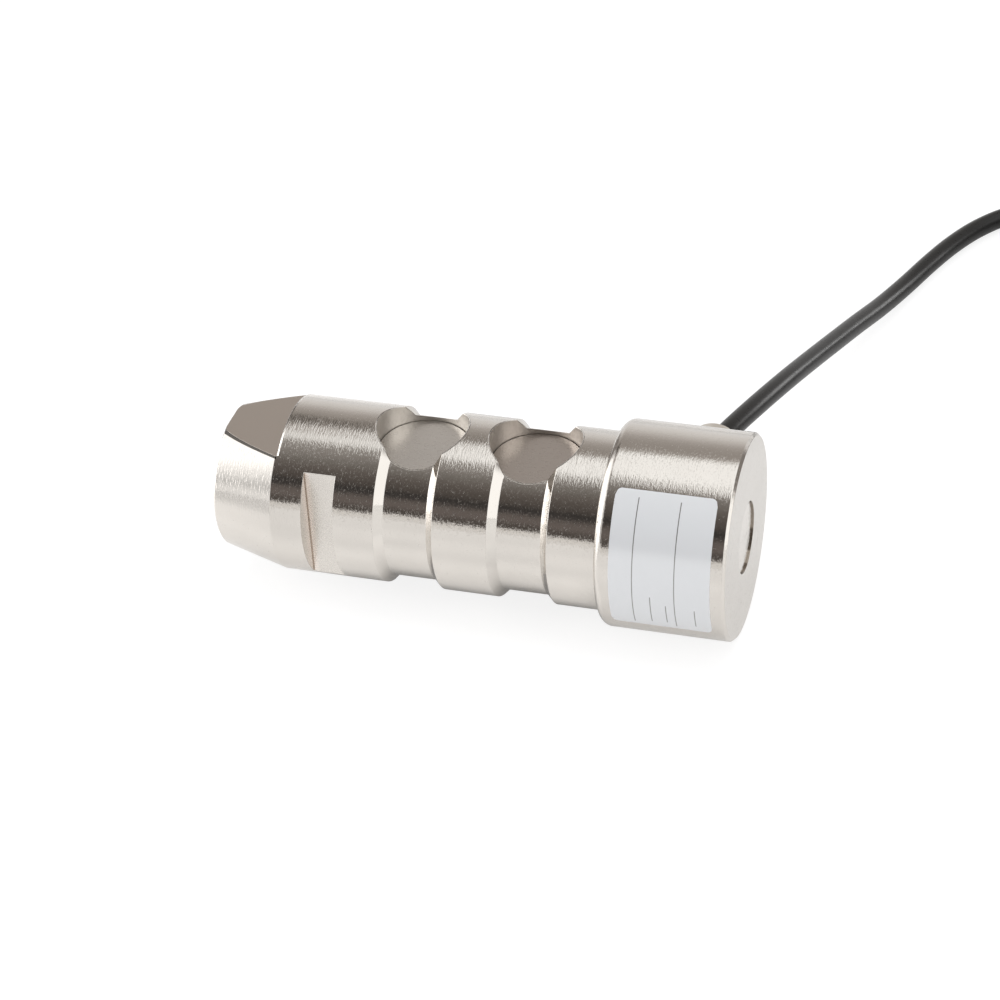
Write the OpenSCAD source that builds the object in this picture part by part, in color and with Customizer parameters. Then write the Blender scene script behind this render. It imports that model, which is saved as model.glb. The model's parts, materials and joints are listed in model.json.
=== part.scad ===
// Strain gauge load cell of the load pin type, in millimetres.
// X runs along the pin from nose to head, Z points up through the gauge pockets, Y points away
// from the keeper slot. The origin is on the axis, at the middle of the section that takes the load.

/* [Pin] */
// Diameter of the bearing surfaces
pin_d = 40; // [38:0.5:42]
// From the load plane to the shoulder under the head
shoulder_x = 30.7; // [29:0.1:34]
// From the load plane to the large end of the nose cone
cone_x = 43.7; // [42:0.1:50]
// Length of the nose cone along the axis
cone_len = 14.45; // [10:0.05:20]
// Diameter of the small end of the nose cone
cone_end_d = 32.5; // [31.6:0.1:35]
// Chamfer round the tip of the nose
tip_chamfer = 0.4; // [0.3:0.05:1]

/* [Head] */
// Diameter of the head
head_d = 46.3; // [45:0.1:50]
// Length of the head from its shoulder to its end face
head_len = 29.2; // [28:0.1:36]
// Radius of the rounded edge at the shoulder
head_round = 2.2; // [1:0.1:2.4]
// Chamfer round the end face
head_chamfer = 0.65; // [0.4:0.05:1.6]

/* [Measuring grooves] */
// Distance between the middles of the two grooves
groove_pitch = 26; // [24:0.1:28]
// Width of a groove at its floor
groove_floor_w = 9.9; // [8:0.1:11]
// Depth of a groove, whose sides slope at 45 degrees
groove_depth = 1.84; // [1:0.02:2.2]

/* [Gauge pockets] */
// Diameter of the pocket bored across each groove
pocket_d = 20.7; // [19.6:0.1:22]
// Height of the outer face of the sealing disc above the axis
disc_h = 14; // [13:0.1:15]
// Thickness of a sealing disc
disc_t = 2; // [1.5:0.1:3]
// Radial seam between the disc and its pocket
disc_seam = 0.25; // [0.15:0.05:0.4]
// Diameter of the gauge bore below the disc
gauge_bore_d = 17.5; // [16:0.1:18.5]
// Thickness of the shear web between opposite gauge bores
web_t = 8; // [7:0.1:9]

/* [Keeper slot] */
// From the load plane to the middle of the keeper slot
slot_x = 32.8; // [31:0.1:36]
// Width of the keeper slot along the axis
slot_w = 7.3; // [6:0.1:9]
// Distance of the slot floor from the axis
slot_floor = 14.7; // [13.5:0.1:16]

/* [Nose flat] */
// Height of the flat above the axis
flat_h = 15.5; // [15:0.1:15.8]
// From the load plane to the shoulder at the end of the flat
flat_x = 43.4; // [40:0.1:43.6]

/* [Wiring] */
// Diameter of the two drilled wiring channels
channel_d = 3; // [2.4:0.1:3.2]
// Height of a channel above the axis
channel_h = 5.8; // [5.6:0.1:6.2]
// Diameter of the wire bundle in a channel
bundle_d = 1.6; // [1:0.1:1.8]
// Length of a strain gauge along the axis
gauge_len = 8; // [6:0.1:9]
// Width of a strain gauge
gauge_w = 6; // [5:0.1:6.4]
// Thickness of a strain gauge
gauge_t = 0.12; // [0.08:0.01:0.2]
// Length of a solder terminal
terminal_len = 6; // [4:0.1:7]
// Thickness of a solder terminal
terminal_t = 0.4; // [0.3:0.05:0.6]

/* [Head chamber] */
// Diameter of the chamber inside the head
chamber_d = 14.5; // [14:0.1:15.5]
// From the shoulder to the blind end of the chamber
chamber_start = 5.3; // [4:0.1:7]
// Diameter of the bore that takes the end plug
plug_bore_d = 16.2; // [16:0.1:18]
// Thickness of the end plug
plug_t = 3; // [2:0.1:4]
// Depth of the plug below the end face
plug_recess = 0.45; // [0.4:0.05:1.2]
// Thickness of the gasket behind the plug
gasket_t = 0.5; // [0.3:0.05:0.8]
// Length of the trim board
board_len = 15.5; // [13:0.1:16]
// Width of the trim board
board_w = 12.8; // [12:0.1:13.2]
// Thickness of the trim board
board_t = 1.2; // [0.8:0.1:1.6]
// Distance of the board's soldered face from the axis
board_y = 1; // [0.9:0.1:1.4]

/* [Cable gland] */
// From the shoulder to the axis of the gland
gland_x = 14.9; // [13.5:0.1:16]
// Diameter of the thread that screws into the head
gland_thread_d = 10; // [9:0.1:10.4]
// Hexagon of the gland body and nut, across flats
gland_af = 13; // [13:0.1:14]
// Height of the hexagon on the gland body
gland_hex_h = 4.6; // [4:0.1:5.2]
// Length of the threaded neck above the hexagon
gland_neck_h = 4.4; // [4:0.1:4.8]
// Height of the gland nut
gland_nut_h = 6.8; // [6.5:0.1:9]
// Diameter of the nut at its mouth
gland_mouth_d = 12; // [10:0.1:12.4]
// Thickness of the washer under the gland
washer_t = 1; // [0.6:0.1:1.5]

/* [Rating label] */
// Length of the label along the axis
label_len = 22.3; // [18:0.1:23]
// Arc that the label covers, in degrees
label_arc = 85; // [60:1:100]
// Thickness of the label
label_t = 0.12; // [0.08:0.01:0.2]
// From the shoulder to the middle of the label
label_x = 14.9; // [14:0.1:15.4]
// Radius of the label's corners
label_corner = 1.3; // [0.5:0.1:3]
// Direction of the label's middle, turned from the slot side towards the top, in degrees
label_turn = 12.5; // [0:0.5:30]

/* [Cable] */
// Diameter of the cable
cable_d = 5; // [4.8:0.1:5.2]
// Turns that lie side by side in the coil, and layers on each other
coil_turns = 4; // [3:1:4]
// Gap between the coil and the surface, taken by the ties
coil_lift = 1; // [1:0.1:1.5]
// Width of a coil tie
tie_w = 4; // [3:0.5:6]
// Thickness of a coil tie
tie_t = 0.7; // [0.4:0.1:0.7]
// Diameter of a core of the cable
core_d = 1.1; // [0.8:0.1:1.2]

/* [Hidden] */
$fn = 96;
// Clearance between pieces that slip into each other
slip = 0.05;
// Clearance between loose pieces
loose = 0.3;
// Overrun of a cut past the face that it opens
past = 1;

pin_r = pin_d / 2;
head_r = head_d / 2;
groove_r = pin_r - groove_depth;
pocket_x = groove_pitch / 2;
nose_end = -cone_x - cone_len - tip_chamfer;
end_x = shoulder_x + head_len;
floor_z = -head_r;

disc_seat = disc_h - disc_t;
web_h = web_t / 2;
bundle_h = channel_h - channel_d / 2 + bundle_d / 2 + slip;
terminal_w = 2.4;
terminal_gap = 0.4;
terminal_y = gauge_w / 2 + terminal_gap + terminal_w / 2;
lead_d = 0.6;

plug_seat = end_x - plug_recess - plug_t - gasket_t;
chamber_x = shoulder_x + chamber_start;
// From the blind end of the chamber to the board, and how far a bundle runs along the board
board_gap = 2;
bundle_on_board = 2;
board_x = chamber_x + board_gap;
bundle_end = board_x + bundle_on_board;
// Length, height and width of a trim resistor, and how far it stays from the board's edges
resistor_size = [3.2, 0.6, 1.6];
resistor_inset = [1.4, 1.6];
resistor_x = [
    bundle_end + 2 * loose + resistor_size[0] / 2,
    board_x + board_len - resistor_inset[0] - resistor_size[0] / 2
];
resistor_z = board_w / 2 - resistor_inset[1] - resistor_size[2] / 2;

gland_axis = shoulder_x + gland_x;
gland_corner_r = gland_af / sqrt(3);
// Room for a spanner round the hexagon, and the least depth of the spot face
spanner_room = 1.2;
spot_cut = 0.2;
spot_d = 2 * (gland_corner_r + spanner_room);
spot_y = sqrt(head_r * head_r - spot_d * spot_d / 4) - spot_cut;
washer_rim = 0.5;
washer_y = spot_y + washer_t;
neck_y = washer_y + gland_hex_h;
nut_y = neck_y + loose;
gland_end = nut_y + gland_nut_h;
neck_end = neck_y + gland_neck_h;
nut_hex_h = 2.9;
nut_roof = neck_end + loose;
// Wall of the grommet in the neck and in the mouth, its seat above the washer, and its end below the mouth
grommet_wall = 1.2;
sleeve_wall = 0.9;
grommet_seat = 3.5;
grommet_inset = 0.5;
grommet_d = cable_d + 2 * grommet_wall;
grommet_start = washer_y + grommet_seat;
sleeve_d = cable_d + 2 * sleeve_wall;
mouth_bore_d = sleeve_d + 4 * slip;
// How far the sheath reaches into the chamber, and how far the spigot stays out of it
cable_reach = 1.2;
spigot_short = 0.6;
cable_start = chamber_d / 2 - cable_reach;

label_mid = shoulder_x + label_x;

// Middle line of the cable from the gland to the coil, chosen by hand
cable_route = [
    [45.8, 35.0, 0], [47.8, 42.0, -0.2], [51.2, 54.5, -1.5], [54.6, 69.0, -4.0], [57.6, 84.0, -7.5],
    [60.6, 99.0, -11.2], [64.0, 115.0, -15.0], [67.8, 131.0, -18.6], [71.8, 145.0, -20.3],
    [76.0, 157.5, -20.6], [80.5, 168.5, -20.6], [86.0, 178.5, -20.6], [93.0, 186.5, -20.5],
    [102.0, 191.5, -20.3], [113.0, 193.0, -20.0], [126.0, 193.0, -19.6]
];
cable_sides = 10;
coil_pos = [148, 158];
// Mean diameter of the coil
coil_mean_d = 55;
coil_band = coil_turns * cable_d;
coil_bottom = floor_z + coil_lift;
coil_top = coil_bottom + coil_band;
coil_outer_turn = (coil_mean_d + coil_band - cable_d) / 2;
tail_turn = coil_outer_turn - cable_d;
// The coil is wound clockwise: on top of it lie the end of the sheath, then the bare cores
tail_arc = [30, 75];
core_arc = [-25, 30];
core_step = core_d + 2 * slip;

// Pockets: name, side along the axis, side of the axis
sites = [["nose_top", -1, 1], ["nose_bottom", -1, -1], ["head_top", 1, 1], ["head_bottom", 1, -1]];
cores = [
    ["red", "firebrick"], ["black", "dimgray"], ["green", "seagreen"],
    ["white", "white"], ["shield", "silver"]
];
ties = [-45, 135];

// Turns what stands along Z to lie along X, or along Y
module along_x() {
    rotate([0, 90, 0]) children();
}

module along_y() {
    rotate([-90, 0, 0]) children();
}

// Moves what is drawn over the load plane to a pocket, and turns it over for a lower one
module at_pocket(site) {
    translate([site[1] * pocket_x, 0, 0]) mirror([0, 0, site[2] < 0 ? 1 : 0]) children();
}

// A ring or bush along Y: outer and inner diameter, and where it starts and ends
module bush_y(outer, inner, start, end) {
    translate([gland_axis, start, 0]) along_y() difference() {
        cylinder(d = outer, h = end - start);
        translate([0, 0, -past]) cylinder(d = inner, h = end - start + 2 * past);
    }
}

// Half outline of the pin: radius to the right, length upwards
module pin_profile() {
    half_floor = groove_floor_w / 2;
    half_top = half_floor + groove_depth;
    polygon([
        [0, nose_end],
        [cone_end_d / 2 - tip_chamfer, nose_end],
        [cone_end_d / 2, nose_end + tip_chamfer],
        [pin_r, -cone_x],
        [pin_r, -pocket_x - half_top],
        [groove_r, -pocket_x - half_floor],
        [groove_r, -pocket_x + half_floor],
        [pin_r, -pocket_x + half_top],
        [pin_r, pocket_x - half_top],
        [groove_r, pocket_x - half_floor],
        [groove_r, pocket_x + half_floor],
        [pin_r, pocket_x + half_top],
        [pin_r, shoulder_x + head_round],
        [0, shoulder_x + head_round]
    ]);
}

// Half outline of the head, with its rounded shoulder edge and its chamfered end
module head_profile() {
    translate([0, shoulder_x]) square([head_r - head_round, head_round]);
    translate([head_r - head_round, shoulder_x + head_round]) circle(r = head_round);
    polygon([
        [0, shoulder_x + head_round],
        [head_r, shoulder_x + head_round],
        [head_r, end_x - head_chamfer],
        [head_r - head_chamfer, end_x],
        [0, end_x]
    ]);
}

// Stepped pocket: the disc's recess, then the narrower bore down to the web
module gauge_pocket() {
    translate([0, 0, disc_seat]) cylinder(d = pocket_d, h = pin_r);
    translate([0, 0, web_h]) cylinder(d = gauge_bore_d, h = pin_r);
}

// Two channels that join the gauge bores to the chamber in the head
module wiring_channels() {
    for (side = [-1, 1])
        translate([-pocket_x, 0, side * channel_h]) along_x()
            cylinder(d = channel_d, h = chamber_x + pocket_x + past);
}

module head_chamber() {
    translate([chamber_x, 0, 0]) along_x() cylinder(d = chamber_d, h = end_x - chamber_x);
    translate([plug_seat, 0, 0]) along_x() cylinder(d = plug_bore_d, h = end_x - plug_seat + past);
}

module gland_hole() {
    translate([gland_axis, 0, 0]) along_y() cylinder(d = gland_thread_d, h = head_r);
    translate([gland_axis, spot_y, 0]) along_y() cylinder(d = spot_d, h = head_r);
}

module keeper_slot() {
    translate([-slot_x - slot_w / 2, -pin_r - past, -pin_r])
        cube([slot_w, pin_r - slot_floor + past, pin_d]);
}

module nose_flat() {
    translate([nose_end - past, -pin_r, flat_h]) cube([-flat_x - nose_end + past, pin_d, pin_r]);
}

// The whole pin is turned from one bar
module pin_body() {
    color([0.78, 0.77, 0.75]) difference() {
        along_x() rotate_extrude() {
            pin_profile();
            head_profile();
        }
        for (site = sites) at_pocket(site) gauge_pocket();
        wiring_channels();
        head_chamber();
        gland_hole();
        keeper_slot();
        nose_flat();
    }
}

module sealing_disc(site) {
    edge = 0.2;
    disc_r = pocket_d / 2 - disc_seam;
    color([0.66, 0.64, 0.61]) at_pocket(site) translate([0, 0, disc_seat]) rotate_extrude()
        polygon([[0, 0], [disc_r, 0], [disc_r, disc_t - edge], [disc_r - edge, disc_t], [0, disc_t]]);
}

// Foil gauge with two grids at right angles, bonded to the web
module strain_gauge(site) {
    grid_margin = 0.25;
    grid = gauge_len / (2 * sqrt(2)) - 2 * grid_margin;
    base_t = gauge_t / 2;
    color("goldenrod") at_pocket(site) translate([0, 0, web_h]) {
        translate([-gauge_len / 2, -gauge_w / 2, 0]) cube([gauge_len, gauge_w, base_t]);
        for (side = [-1, 1])
            translate([side * gauge_len / 4, 0, gauge_t / 2]) rotate([0, 0, side * 45])
                cube([grid, grid, gauge_t], center = true);
    }
}

module terminal(site) {
    color("darkorange") at_pocket(site)
        translate([-terminal_len / 2, terminal_y - terminal_w / 2, web_h])
            cube([terminal_len, terminal_w, terminal_t]);
}

// Bundle from the far gauge to the board, with a lead down to each terminal and one to the board
module wire_bundle(side) {
    color("gainsboro") mirror([0, 0, side < 0 ? 1 : 0]) {
        translate([-pocket_x, 0, bundle_h]) along_x() cylinder(d = bundle_d, h = bundle_end + pocket_x);
        for (x = [-pocket_x + lead_d, pocket_x]) {
            translate([x, 0, bundle_h]) along_y() cylinder(d = lead_d, h = terminal_y);
            translate([x, terminal_y, web_h + terminal_t])
                cylinder(d = lead_d, h = bundle_h + lead_d / 2 - web_h - terminal_t);
        }
        translate([bundle_end - lead_d, -board_y, bundle_h]) along_y() cylinder(d = lead_d, h = board_y);
    }
}

module trim_board() {
    color("darkgreen")
        translate([board_x, -board_y - board_t, -board_w / 2]) cube([board_len, board_t, board_w]);
}

module trim_resistor(number) {
    across = number > 2 ? 1 : -1;
    color([0.2, 0.2, 0.22])
        translate([resistor_x[number % 2], resistor_size[1] / 2 - board_y, across * resistor_z])
            cube(resistor_size, center = true);
}

module end_plug() {
    color([0.74, 0.73, 0.71])
        translate([plug_seat + gasket_t, 0, 0]) along_x() cylinder(d = plug_bore_d - 2 * slip, h = plug_t);
}

module plug_gasket() {
    color([0.15, 0.15, 0.15]) translate([plug_seat, 0, 0]) along_x() difference() {
        cylinder(d = plug_bore_d - 2 * slip, h = gasket_t);
        translate([0, 0, -past]) cylinder(d = chamber_d - 2 * slip, h = gasket_t + 2 * past);
    }
}

module gland_washer() {
    color([0.12, 0.12, 0.12])
        bush_y(gland_af + 2 * washer_rim, gland_thread_d + 2 * slip, spot_y, washer_y);
}

// Threaded spigot, hexagon and threaded neck in one piece, bored for the cable and the grommet
module gland_body() {
    spigot_start = chamber_d / 2 + spigot_short;
    color([0.80, 0.79, 0.77]) difference() {
        translate([gland_axis, 0, 0]) along_y() {
            translate([0, 0, spigot_start]) cylinder(d = gland_thread_d - 2 * slip, h = washer_y - spigot_start);
            translate([0, 0, washer_y]) cylinder(r = gland_corner_r, h = gland_hex_h, $fn = 6);
            translate([0, 0, neck_y]) cylinder(d = gland_thread_d, h = gland_neck_h);
        }
        translate([gland_axis, 0, 0]) along_y() {
            cylinder(d = cable_d + 2 * loose, h = neck_end + past);
            translate([0, 0, grommet_start]) cylinder(d = grommet_d + 2 * slip, h = neck_end);
        }
    }
}

// Hexagon below and a taper above that narrows to the mouth
module gland_nut() {
    rim = 0.3;
    taper_d = gland_af - 4 * slip;
    taper_h = gland_nut_h - nut_hex_h - rim;
    color([0.82, 0.81, 0.79]) translate([gland_axis, 0, 0]) along_y() difference() {
        union() {
            translate([0, 0, nut_y]) cylinder(r = gland_corner_r, h = nut_hex_h, $fn = 6);
            translate([0, 0, nut_y + nut_hex_h]) cylinder(d1 = taper_d, d2 = gland_mouth_d, h = taper_h);
            translate([0, 0, gland_end - rim])
                cylinder(d1 = gland_mouth_d, d2 = gland_mouth_d - 2 * rim, h = rim);
        }
        translate([0, 0, nut_y - past]) cylinder(d = gland_thread_d + 2 * slip, h = nut_roof - nut_y + past);
        translate([0, 0, nut_y]) cylinder(d = mouth_bore_d, h = gland_nut_h + past);
    }
}

// Rubber sleeve that the nut squeezes round the cable, with a collar that the nut's roof holds down
module gland_grommet() {
    collar_inset = 0.5;
    color([0.1, 0.1, 0.1]) difference() {
        translate([gland_axis, 0, 0]) along_y() {
            translate([0, 0, grommet_start]) cylinder(d = grommet_d, h = neck_end - grommet_start);
            translate([0, 0, neck_end]) cylinder(d = gland_thread_d - 2 * collar_inset, h = loose);
            translate([0, 0, neck_end]) cylinder(d = sleeve_d, h = gland_end - grommet_inset - neck_end);
        }
        translate([gland_axis, 0, 0]) along_y() cylinder(d = cable_d, h = gland_end + past);
    }
}

// Rounded rectangle centred on the origin
module rounded_plate(length, width, corner) {
    square([length, width - 2 * corner], center = true);
    square([length - 2 * corner, width], center = true);
    for (x = [-1, 1], y = [-1, 1])
        translate([x * (length / 2 - corner), y * (width / 2 - corner)]) circle(r = corner);
}

// Self-adhesive label, wrapped round the head
module rating_label() {
    chord = 2 * head_r * sin(label_arc / 2);
    color("white") intersection() {
        translate([label_mid - label_len, 0, 0]) along_x() difference() {
            cylinder(r = head_r + label_t, h = 2 * label_len);
            translate([0, 0, -past]) cylinder(r = head_r, h = 2 * label_len + 2 * past);
        }
        translate([label_mid, 0, 0]) rotate([90 - label_turn, 0, 0])
            linear_extrude(height = 2 * head_r) rounded_plate(label_len, chord, label_corner);
    }
}

// The cable inside the gland and the chamber
module cable_inner() {
    color([0.1, 0.1, 0.1]) translate([gland_axis, cable_start, 0]) along_y()
        cylinder(d = cable_d, h = cable_route[0][1] - cable_start);
}

// Stripped cores from the cable down to the board
module cable_cores() {
    ring = cable_d / 2 - core_d;
    color("firebrick") for (turn = [0:90:270])
        translate([gland_axis, -board_y, 0]) along_y() rotate([0, 0, turn]) translate([ring, 0, 0])
            cylinder(d = core_d, h = cable_start + board_y);
}

function unit(v) = v / norm(v);
function last(list) = len(list) - 1;
// Direction of the route at a point; it leaves along Y and enters the coil along X
function heading(i) =
    i == 0 ? [0, 1, 0] :
    i == last(cable_route) ? [1, 0, 0] :
    unit(cable_route[i + 1] - cable_route[i - 1]);
function ring_side(i) = unit(cross(heading(i), [0, 0, 1]));
function ring_up(i) = cross(ring_side(i), heading(i));
function ring_point(i, turn) =
    cable_route[i] + cable_d / 2 * (cos(turn) * ring_side(i) + sin(turn) * ring_up(i));
function ring_index(i, k) = i * cable_sides + k % cable_sides;

module cable_lead() {
    points = [for (i = [0:last(cable_route)], k = [0:cable_sides - 1]) ring_point(i, k * 360 / cable_sides)];
    walls = [for (i = [0:last(cable_route) - 1], k = [0:cable_sides - 1], half = [0, 1])
        half == 0
            ? [ring_index(i, k), ring_index(i, k + 1), ring_index(i + 1, k + 1)]
            : [ring_index(i, k), ring_index(i + 1, k + 1), ring_index(i + 1, k)]];
    start = [for (k = [0:cable_sides - 1]) cable_sides - 1 - k];
    end = [for (k = [0:cable_sides - 1]) ring_index(last(cable_route), k)];
    color([0.1, 0.1, 0.1]) polyhedron(points = points, faces = concat(walls, [start, end]));
}

// Outer shape of the coil, with the straight stretch by which the cable joins its outer turn
module cable_coil() {
    stub = coil_pos[0] - cable_route[last(cable_route)][0];
    color([0.1, 0.1, 0.1]) {
        translate([coil_pos[0], coil_pos[1], coil_bottom]) rotate_extrude()
            translate([coil_mean_d / 2, coil_band / 2]) rounded_plate(coil_band, coil_band, cable_d / 2);
        translate([coil_pos[0] - stub, coil_pos[1] + coil_outer_turn, coil_bottom + cable_d / 2]) along_x()
            cylinder(d = cable_d, h = stub);
    }
}

// A round arc that lies on top of the coil
module arc_on_coil(radius, thickness, arc) {
    translate([coil_pos[0], coil_pos[1], coil_top + thickness / 2]) rotate([0, 0, arc[0]])
        rotate_extrude(angle = arc[1] - arc[0]) translate([radius, 0]) circle(d = thickness);
}

module cable_tail() {
    color([0.1, 0.1, 0.1]) arc_on_coil(tail_turn, cable_d, tail_arc);
}

module core(index) {
    color(cores[index][1]) arc_on_coil(tail_turn + (index - 2) * core_step, core_d, core_arc);
}

// Flat band round the coil's section
module coil_tie(index) {
    gap = loose / 2;
    inner = coil_band + 2 * gap;
    outer = inner + 2 * tie_t;
    color([0.2, 0.2, 0.2]) translate([coil_pos[0], coil_pos[1], coil_bottom + coil_band / 2])
        rotate([0, 0, ties[index]]) translate([coil_mean_d / 2, tie_w / 2, 0]) rotate([90, 0, 0])
            linear_extrude(height = tie_w) difference() {
                rounded_plate(outer, outer, cable_d / 2 + gap + tie_t);
                rounded_plate(inner, inner, cable_d / 2 + gap);
            }
}

pin_body();
for (site = sites) {
    sealing_disc(site);
    strain_gauge(site);
    terminal(site);
}
wire_bundle(1);  // wire_bundle_top
wire_bundle(-1);  // wire_bundle_bottom
trim_board();
for (number = [1:4])
    trim_resistor(number);
end_plug();
plug_gasket();
gland_washer();
gland_body();
gland_nut();
gland_grommet();
rating_label();
cable_inner();
cable_cores();
cable_lead();
cable_coil();
cable_tail();
for (index = [0:last(cores)])
    core(index);
for (index = [0:last(ties)])
    coil_tie(index);
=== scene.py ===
import json
import math

import bmesh
import bpy
import numpy as np
from mathutils import Matrix, Vector

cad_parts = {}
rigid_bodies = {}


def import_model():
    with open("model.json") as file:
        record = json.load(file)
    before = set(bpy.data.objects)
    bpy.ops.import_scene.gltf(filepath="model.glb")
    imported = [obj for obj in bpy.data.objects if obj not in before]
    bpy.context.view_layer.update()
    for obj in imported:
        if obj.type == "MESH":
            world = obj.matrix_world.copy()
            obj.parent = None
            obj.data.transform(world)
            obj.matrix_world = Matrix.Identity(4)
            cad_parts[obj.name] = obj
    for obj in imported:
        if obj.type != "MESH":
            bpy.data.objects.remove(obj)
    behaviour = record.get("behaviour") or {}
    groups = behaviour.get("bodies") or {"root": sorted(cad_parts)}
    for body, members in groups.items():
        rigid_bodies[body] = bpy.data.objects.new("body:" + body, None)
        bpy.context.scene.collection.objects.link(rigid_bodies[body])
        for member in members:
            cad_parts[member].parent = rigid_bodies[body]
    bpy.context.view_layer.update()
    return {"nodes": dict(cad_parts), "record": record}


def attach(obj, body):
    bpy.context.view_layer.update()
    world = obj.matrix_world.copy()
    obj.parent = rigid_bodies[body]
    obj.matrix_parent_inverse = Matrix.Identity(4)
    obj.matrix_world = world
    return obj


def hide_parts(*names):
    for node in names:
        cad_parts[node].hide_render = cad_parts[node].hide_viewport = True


# A start-up scene's own objects would count as pieces
for leftover in list(bpy.data.objects):
    bpy.data.objects.remove(leftover)

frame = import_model()
nodes = frame["nodes"]

MM = 0.001
BODY = "root"

# Sizes of the pin in millimetres, as in the part's source
PIN_R = 20.0
GROOVE_R = 18.16
HEAD_R = 23.15
SHOULDER_X = 30.7
END_X = 59.9
HEAD_ROUND = 2.2
HEAD_CHAMFER = 0.65
CONE_X = 43.7
CONE_LEN = 14.45
CONE_END_R = 16.25
TIP_CHAMFER = 0.4
GROOVE_X = 13.0
GROOVE_HALF_FLOOR = 4.95
GROOVE_DEPTH = PIN_R - GROOVE_R
POCKET_R = 10.35
DISC_SEAT = 12.0
DISC_TOP = 14.0
DISC_SEAM = 0.15
GAUGE_BORE_R = 8.75
WEB_H = 4.0
SLOT_X = 32.8
SLOT_W = 7.3
SLOT_FLOOR = 14.7
FLAT_H = 15.5
FLAT_X = 43.4
CHANNEL_R = 1.5
CHANNEL_H = 5.8
CHAMBER_R = 7.25
CHAMBER_X = 36.0
PLUG_BORE_R = 8.1
PLUG_RECESS = 0.45
PLUG_T = 3.0
GASKET_T = 0.5
GLAND_X = 45.6
GLAND_THREAD_R = 5.0
GLAND_AF = 13.0
SPOT_R = GLAND_AF / math.sqrt(3) + 1.2
SPOT_Y = math.sqrt(HEAD_R ** 2 - SPOT_R ** 2) - 0.2
WASHER_Y = SPOT_Y + 1.0
GROMMET_Y = WASHER_Y + 3.5
NECK_Y = WASHER_Y + 4.6
NECK_END = NECK_Y + 4.4
NECK_GAP = 0.3
NECK_BORE_R = 3.75
NUT_Y = NECK_Y + 0.3
NUT_HEX_H = 2.9
GLAND_END = NUT_Y + 6.8
MOUTH_R = 6.0
MOUTH_BORE_R = 3.5
LABEL_X = 45.6
LABEL_LEN = 22.3
LABEL_ARC = 85.0
LABEL_TURN = 12.5
LABEL_T = 0.12
LABEL_CORNER = 1.3
GROMMET_R = 3.7
GROMMET_COLLAR_R = 4.5
GROMMET_MOUTH_R = 3.4
CLEARANCE = 0.05
CABLE_D = 5.0
FLOOR_Z = -HEAD_R

# Middle line of the cable from the gland to the coil, as in the part's source
CABLE_ROUTE = [
    (45.8, 35.0, 0), (47.8, 42.0, -0.2), (51.2, 54.5, -1.5), (54.6, 69.0, -4.0), (57.6, 84.0, -7.5),
    (60.6, 99.0, -11.2), (64.0, 115.0, -15.0), (67.8, 131.0, -18.6), (71.8, 145.0, -20.3),
    (76.0, 157.5, -20.6), (80.5, 168.5, -20.6), (86.0, 178.5, -20.6), (93.0, 186.5, -20.5),
    (102.0, 191.5, -20.3), (113.0, 193.0, -20.0), (126.0, 193.0, -19.6)
]
COIL_POS = (148.0, 158.0)
COIL_TURNS = 4
COIL_OUTER = 35.0
COIL_BOTTOM = FLOOR_Z + 1.0
COIL_TOP = COIL_BOTTOM + COIL_TURNS * CABLE_D
TAIL_RADIUS = COIL_OUTER - CABLE_D
TAIL_END = 30.0
TAIL_CLIMB = 40.0
STEP_OVER = 0.65
CORE_END = -25.0
CORE_D = 1.1
CORE_STEP = 1.2
CORE_DROP = 1.2
TIES = (-45, 135)
TIE_W = 4.0
TIE_T = 0.7
TIE_GAP = 0.15

# Steps round a turned piece: the pin, its bores and discs, and the gland's pieces
PIN_STEPS = 240
BORE_STEPS = 144
GLAND_STEPS = 96

ALONG_X = Matrix.Rotation(math.radians(90), 4, "Y")
ALONG_Y = Matrix.Rotation(math.radians(-90), 4, "X")
ALONG_Z = Matrix.Identity(4)
DOWN_Z = Matrix.Rotation(math.pi, 4, "X")


def link(name, data):
    obj = bpy.data.objects.new(name, data)
    bpy.context.scene.collection.objects.link(obj)
    return obj


def mesh_object(name, bm, axis=ALONG_Z, place=(0, 0, 0)):
    """An object from a mesh in millimetres that is turned to an axis and then put in its place."""
    bm.transform(Matrix.Scale(MM, 4) @ Matrix.Translation(place) @ axis)
    mesh = bpy.data.meshes.new(name)
    bm.to_mesh(mesh)
    bm.free()
    return link(name, mesh)


def rod(radius, low, high):
    """Half outline of a plain cylinder between two heights."""
    return [(0, low), (radius, low), (radius, high), (0, high)]


def lathe(name, profile, axis=ALONG_Z, place=(0, 0, 0), segments=128, turn=0.0):
    """Revolves a closed half outline of (radius, height) points, in millimetres, about an axis."""
    bm = bmesh.new()
    rings = []
    for radius, height in profile:
        if radius < 1e-6:
            rings.append([bm.verts.new((0, 0, height))])
            continue
        ring = []
        for k in range(segments):
            angle = 2 * math.pi * k / segments + turn
            ring.append(bm.verts.new((radius * math.cos(angle), radius * math.sin(angle), height)))
        rings.append(ring)
    pairs = list(zip(rings, rings[1:]))
    if len(rings[0]) > 1:
        pairs.append((rings[-1], rings[0]))
    for low, high in pairs:
        for k in range(segments):
            j = (k + 1) % segments
            corners = [low[k % len(low)], low[j % len(low)], high[j % len(high)], high[k % len(high)]]
            distinct = list(dict.fromkeys(corners))
            if len(distinct) > 2:
                bm.faces.new(distinct)
    bmesh.ops.recalc_face_normals(bm, faces=bm.faces)
    return mesh_object(name, bm, axis, place)


def block(name, low, high):
    """A cutter's box between two corners, in millimetres."""
    bm = bmesh.new()
    bmesh.ops.create_cube(bm, size=1)
    size = Vector(high) - Vector(low)
    middle = (Vector(high) + Vector(low)) / 2
    return mesh_object(name, bm, Matrix.Diagonal((*size, 1)), middle)


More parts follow.
